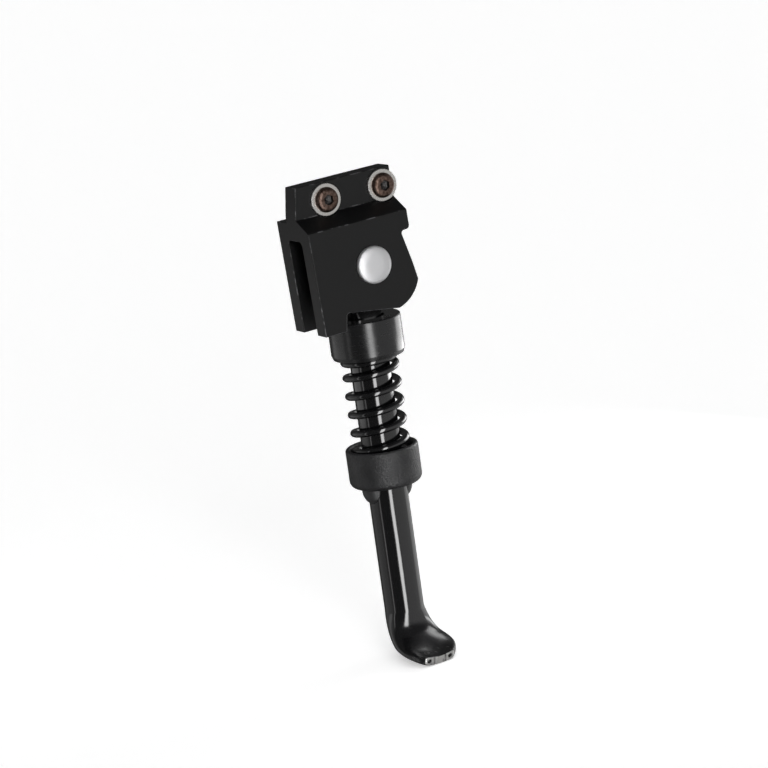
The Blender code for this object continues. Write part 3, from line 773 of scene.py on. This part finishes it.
# Place along the bend, half-width, height above and depth below the middle line, squareness and dishing
FOOT = [
    (0.0, TUBE, TUBE, TUBE, 1.0, 0.0),
    (0.2, 9.74 * MM, 7.7 * MM, 6.4 * MM, 0.97, 0.0),
    (0.4, 11.07 * MM, 6.3 * MM, 4.2 * MM, 0.92, 0.2 * MM),
    (0.6, 12.3 * MM, 4.5 * MM, 2.5 * MM, 0.8, 1.2 * MM),
    (0.78, 11.81 * MM, 2.9 * MM, 2.0 * MM, 0.65, 2.0 * MM),
    (0.91, 9.59 * MM, 2.3 * MM, 2.0 * MM, 0.5, 2.0 * MM),
    (1.0, 6.9 * MM, 2.0 * MM, 2.0 * MM, 0.45, 1.6 * MM),
]


# The bend is an arc that runs on into a straight tail, and together they come out at the sole
cosine, sine = math.cos(FOOT_TURN), math.sin(FOOT_TURN)
FALL = SOLE - BEND_START
TAIL = (FALL * (1 - cosine) - FOOT_REACH * sine) / (cosine * (1 - cosine) - sine**2)
BEND_RADIUS = (FALL - TAIL * cosine) / sine
FOOT_LENGTH = BEND_RADIUS * FOOT_TURN + TAIL


def foot_path(along):
    """Reach, drop and turn of the foot's centre line, from 0 at the bend to 1 at the sole."""
    walked = along * FOOT_LENGTH
    turned = min(walked / BEND_RADIUS, FOOT_TURN)
    straight = max(walked - BEND_RADIUS * FOOT_TURN, 0.0)
    reach = BEND_RADIUS * (1 - math.cos(turned)) + straight * math.sin(turned)
    return reach, BEND_START + BEND_RADIUS * math.sin(turned) + straight * math.cos(turned), turned


def eased(rows, along):
    """The values at a place along a table whose first column is that place, without creases."""
    after = next(i for i, row in enumerate(rows) if row[0] >= along or row is rows[-1])
    low, high = max(after - 1, 0), max(after, 1)
    a, b = rows[low], rows[high]
    before, beyond = rows[max(low - 1, 0)], rows[min(high + 1, len(rows) - 1)]
    span = b[0] - a[0]
    t = (along - a[0]) / span
    values = []
    for p, q, start, end in zip(a[1:], b[1:], before[1:], beyond[1:]):
        leave = (q - start) * span / (b[0] - before[0])
        arrive = (end - p) * span / (beyond[0] - a[0])
        cubic = (2 * t**3 - 3 * t**2 + 1) * p + (t**3 - 2 * t**2 + t) * leave
        values.append(cubic + (3 * t**2 - 2 * t**3) * q + (t**3 - t**2) * arrive)
    return values


def leg_sections():
    """Inset, drop, turn, half-width, height above, depth below, squareness and dishing of every ring."""
    flat, round_off = UPPER[1][0], UPPER[-1][0]
    drops = [flat + (round_off - flat) * ring / UPPER_RINGS for ring in range(UPPER_RINGS + 1)]
    sections = []
    rows = [UPPER[0], *((drop, *eased(UPPER[1:], drop)) for drop in drops)]
    for drop, inset, wide, thick, square in rows:
        sections.append((inset, drop, 0.0, wide, thick, thick, square, 0.0))
    places = [ring / FOOT_RINGS for ring in range(FOOT_RINGS)]
    for left in (0.55, 0.3, 0.1, 0.0):
        places.append(1.0 - left * TOE_ROUND / FOOT_LENGTH)
    for along in places:
        reach, drop, turned = foot_path(along)
        wide, above, below, square, dish = eased(FOOT, along)
        inward = max(1.0 - (1.0 - along) * FOOT_LENGTH / TOE_ROUND, 0.0)
        shrink = TOE_ROUND * (1.0 - math.sqrt(1.0 - inward**2))
        wide, above, below = wide - shrink, above - shrink, below - shrink
        sections.append((LEG_INSET - reach, drop, turned, wide, above, below, square, dish))
    return sections


def on_section(section, angle):
    """The point at an angle of a section, in the leg's own frame with the pivot at its origin."""
    inset, drop, turned, half_width, above, below, square, dish = section
    cosine, sine = math.cos(angle), math.sin(angle)
    core = min(half_width, TUBE)
    x = math.copysign(abs(cosine) ** square, cosine) * (core + (half_width - core) * cosine**2)
    rise = math.copysign(abs(sine) ** square, sine)
    lift = rise * (above if rise > 0 else below)
    lift += dish * (0.65 + 0.35 * rise) * ((x / half_width) ** 2 - 0.5)
    return Vector((x, inset, -drop)) + Vector((0.0, -math.cos(turned), math.sin(turned))) * lift


# %% From a cut cylinder to the leg
sections = leg_sections()
bpy.ops.object.select_all(action="DESELECT")
bpy.ops.mesh.primitive_cylinder_add(vertices=96, radius=1.0, depth=len(sections) - 1)
leg = bpy.context.object
leg.name = "pressed_leg"
top = (len(sections) - 1) / 2
for ring in range(1, len(sections) - 1):
    with editing(leg):
        bpy.ops.mesh.select_all(action="SELECT")
        bpy.ops.mesh.bisect(plane_co=(0.0, 0.0, top - ring), plane_no=(0.0, 0.0, 1.0))
for vertex in leg.data.vertices:
    section = sections[round(top - vertex.co.z)]
    vertex.co = on_section(section, math.atan2(-vertex.co.y, vertex.co.x))
tidy_mesh(leg)
print("rings down the leg:", len(sections))

# %% [markdown]
# Where the tube is pressed flat, its wall folds over at each side and leaves a small opening in the
# cut end. Two narrow cones cut them while the leg is still one plain skin, because a Boolean needs
# closed, simple meshes.

# %% Openings in the toe's corners
GAP_PLACE = 5.0 * MM
toe_reach, toe_drop, toe_turn = foot_path(1.0)
toe_place = Matrix.Translation((0.0, LEG_INSET - toe_reach, -toe_drop))
ON_TOE = toe_place @ Matrix.Rotation(math.pi - toe_turn, 4, "X")
for side in (-1, 1):
    gap = turn("gap", [(0.0, MM), (0.9 * MM, MM), (0.7 * MM, 0.0), (0.0, -3.5 * MM)], 32)
    widened = Matrix.Diagonal((1.5, 1.45, 1.0, 1.0))
    settle(gap, ON_TOE @ Matrix.Translation((side * GAP_PLACE, 0.2 * MM, 0.0)) @ widened)
    combine(leg, gap)
print(f"toe turned outwards by {math.degrees(toe_turn):.0f} degrees")

# %% [markdown]
# The eye is a round disc joined on, and drilled for the bolt. Under the cup the tube's wall is
# pushed out into two blunt ears that carry it. They are round bulges, turned like the other pieces,
# half sunk in the tube and joined on.

# %% Eye, ears and bore
rim = fillet((0.0, EYE), (EYE_RADIUS, EYE), (EYE_RADIUS, 0.0), 0.6 * MM)
disc = turn("eye", [(0.0, EYE), *rim, (EYE_RADIUS, 0.0)])
apply_step(disc, "Both sides", "MIRROR", use_axis=(False, False, True))
tidy_mesh(disc)
settle(disc, OUTWARDS)
combine(leg, disc, "UNION")
EAR_TOP, EAR_RADIUS, EAR_DEPTH = -95.7 * MM, 5.2 * MM, 7.0 * MM
for side in (-1, 1):
    bulge = oval((1.5 * MM, -0.6 * MM), (4.0 * MM, 6.4 * MM), 0, -90, 10)
    ear = turn("ear", [(0.0, 0.0), (EAR_RADIUS, 0.0), *bulge, (0.0, -EAR_DEPTH)], 48)
    settle(ear, Matrix.Translation((side * (TUBE - 2.5 * MM), LEG_INSET, EAR_TOP)))
    combine(leg, ear, "UNION")
bore = turn("eye_bore", [(0.0, reach), (BORE_RADIUS, reach), (BORE_RADIUS, -reach), (0.0, -reach)])
settle(bore, OUTWARDS)
combine(leg, bore)
settle(leg, ON_LEG)
smooth(leg, 35.0)

# %% [markdown]
# The leg, the spring and the collar are enamelled gloss black. Enamel that was baked on is never
# quite flat: a slow ripple bends its reflections. The ears, which stand out from the tube, stayed
# rough under it. The shoe touches the ground: it is scuffed, and its cut end has worn down to the
# steel.

# %% Enamel for the leg
ENAMEL_BLACK = (0.0035, 0.0035, 0.004)
black_enamel, shader, place = start_finish("black_enamel", ENAMEL_BLACK, 0.14, specular=0.95)
ripple = place.stretched((1.0, 1.0, 0.35)).noise(160.0, 2.0, 0.4)
specks = place.noise(3200.0, 2.0, 0.7)
feed(shader, "Roughness", specks * 0.05 + 0.09)
feed_bump(shader, ripple * 4.0 + specks * 0.06, 0.02 * MM)

leg_enamel = black_enamel.copy()
leg_enamel.name = "leg_enamel"
shader = leg_enamel.node_tree.nodes["Principled BSDF"]
place = Socket(leg_enamel.node_tree).node("TexCoord", output="Object")
x, y, z = place.split()
off_x, off_y = x - (z - PIVOT.z) * math.tan(LEAN), y - (PIVOT.y + LEG_INSET)
outside = (off_x * off_x + off_y * off_y) ** 0.5
on_ears = outside.step(TUBE + 0.1 * MM, TUBE + 0.5 * MM) * z.step(-150.0 * MM, -145.0 * MM)
patches = place.noise(420.0, 4.0, 0.6)
toe_end = ON_LEG @ ON_TOE.translation
behind_end = (y - toe_end.y) * math.sin(toe_turn) + (z - toe_end.z) * math.cos(toe_turn)
fold_line = abs(abs(off_x) - 2.7 * MM).step(0.9 * MM, 0.1 * MM)
bare = behind_end.step(0.45 * MM, 0.1 * MM) * (1.0 - fold_line * 0.75) * patches.step(0.25, 0.55)
dulled = z.step(-181.0 * MM, -188.0 * MM)
specks = place.noise(3200.0, 2.0, 0.7)
scuffed = z.step(-190.0 * MM, -198.5 * MM) * patches.step(0.45, 0.75)
black = scuffed.mix((*ENAMEL_BLACK, 1.0), (0.03, 0.029, 0.028, 1.0))
black = on_ears.mix(black, (0.016, 0.016, 0.017, 1.0))
feed(shader, "Base Color", bare.mix(black, (0.66, 0.655, 0.64, 1.0)))
feed(shader, "Metallic", bare)
rubbed = scuffed * 0.15 + dulled * 0.1 + on_ears * 0.45 + bare * 0.15
feed(shader, "Roughness", specks * 0.05 + rubbed + 0.09)
dress(leg, "leg", "stand_leg", leg_enamel)

# %% [markdown]
# ## Cam collar and cup
# Both rings are turned round the leg's axis. The steel collar is enamelled and has a chamfer round
# its foot. The cup is moulded in a hard rubber: thick, round at its base, with a well for the
# spring and a matt skin.

# %% Turned collar
ON_RING = ON_LEG @ Matrix.Translation((0.0, LEG_INSET, 0.0))
RING_BORE = 8.7 * MM
high, low, radius = -23.3 * MM, -39.9 * MM, 15.5 * MM
rim = fillet((RING_BORE, high), (radius, high), (radius, low), 0.7 * MM)
foot = fillet((radius, high), (radius, low + 1.8 * MM), (radius - 0.7 * MM, low), 0.25 * MM, 3)
edge = fillet((radius, low + 1.8 * MM), (radius - 0.7 * MM, low), (RING_BORE, low), 0.25 * MM, 3)
inner_low = fillet((radius, low), (RING_BORE, low), (RING_BORE, high), 0.4 * MM, 3)
inner_high = fillet((RING_BORE, low), (RING_BORE, high), (radius, high), 0.4 * MM, 3)
collar = turn("turned_collar", [*rim, *foot, *edge, *inner_low, *inner_high], 128)
settle(collar, ON_RING)
smooth(collar)

# %% Rubber cup
high, floor_level, low, radius, well = -78.8 * MM, -84.8 * MM, -95.4 * MM, 15.4 * MM, 13.3 * MM
lip = (radius - well) / 2
rim = arc((radius - lip, high - lip), lip, 180, 0, 12)
base = arc((radius - 3.0 * MM, low + 3.0 * MM), 3.0 * MM, 0, -90, 10)
hole = fillet((radius, low), (RING_BORE, low), (RING_BORE, floor_level), 0.5 * MM, 3)
inner = fillet((RING_BORE, floor_level), (well, floor_level), (well, high), 0.8 * MM, 4)
cup = turn("rubber_cup", [*inner, *rim, *base, *hole, (RING_BORE, floor_level)], 128)
settle(cup, ON_RING)
smooth(cup)

# %% Collar and cup finishes
collar_enamel, shader, place = start_finish("collar_enamel", (0.008, 0.008, 0.0085), 0.2, specular=0.62)
ripple = place.noise(140.0, 2.0, 0.4)
marks = place.stretched((0.25, 0.25, 1.0)).noise(1100.0, 3.0, 0.6)
feed(shader, "Roughness", marks * 0.16 + ripple * 0.08 + 0.13)
feed_bump(shader, ripple * 3.0 + marks * 0.2, 0.02 * MM)
dress(collar, "collar", "cam_collar", collar_enamel)

hard_rubber, shader, place = start_finish("hard_rubber", (0.016, 0.016, 0.017), 0.5, specular=0.5)
skin = place.noise(950.0, 4.0, 0.65)
bloom = place.noise(120.0, 3.0, 0.5)
clouded = bloom.step(0.35, 0.7).mix((0.012, 0.012, 0.013, 1.0), (0.021, 0.021, 0.022, 1.0))
feed(shader, "Base Color", clouded)
feed(shader, "Roughness", skin * 0.25 + 0.3)
feed_bump(shader, skin, 0.35 * MM)
dress(cup, "leg", "spring_cup", hard_rubber)

# %% [markdown]
# ## Return spring
# A spring is a round wire wound to a pitch, with its last turns closed and ground flat so that it
# stands square. A curve with a bevel would give the coil, but winding it by hand is simple too: a
# disc of the wire's width is extruded, turned a few degrees about the axis and lifted, over and
# over. The ends are then cut flat.

# %% Winding the spring
WIRE = 3.0 * MM
COIL_RADIUS = 10.8 * MM
COIL_LOW, COIL_HIGH = -84.5 * MM, -40.2 * MM
PITCH, CLOSED_PITCH, CLOSED_TURNS = 7.92 * MM, 3.3 * MM, 0.8
STEPS = 40  # to a turn
OPEN_TURNS = (COIL_HIGH - COIL_LOW - 2 * CLOSED_TURNS * CLOSED_PITCH) / PITCH
CLOCK = math.radians(48.0)


def climb(turns):
    """Height of the wire's middle after so many turns, with closed turns at both ends."""
    climbing = min(max(turns - CLOSED_TURNS, 0.0), OPEN_TURNS)
    return COIL_LOW + (turns - climbing) * CLOSED_PITCH + climbing * PITCH


bpy.ops.object.select_all(action="DESELECT")
start = {"location": (COIL_RADIUS, 0.0, COIL_LOW), "rotation": (math.pi / 2, 0.0, 0.0)}
bpy.ops.mesh.primitive_circle_add(vertices=20, radius=WIRE / 2, fill_type="NGON", **start)
spring = bpy.context.object
spring.name = "wound_spring"
settle(spring)
turns = OPEN_TURNS + 2 * CLOSED_TURNS
count = round(turns * STEPS)
with editing(spring):
    bpy.ops.mesh.select_all(action="SELECT")
    for step in range(count):
        rise = climb(turns * (step + 1) / count) - climb(turns * step / count)
        bpy.ops.mesh.extrude_region_move(TRANSFORM_OT_translate={"value": (0.0, 0.0, rise)})
        bpy.ops.transform.rotate(
            value=-2 * math.pi * turns / count, orient_axis="Z", center_override=(0.0, 0.0, 0.0)
        )
    saw_off(COIL_LOW, -1.0)
    saw_off(COIL_HIGH, 1.0)
tidy_mesh(spring)
settle(spring, ON_RING @ Matrix.Rotation(CLOCK - 2 * math.pi * (CLOSED_TURNS + OPEN_TURNS), 4, "Z"))
smooth(spring, 50.0)

# %% Spring finish and its own mesh
dress(spring, "leg", "return_spring", black_enamel)
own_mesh(spring)
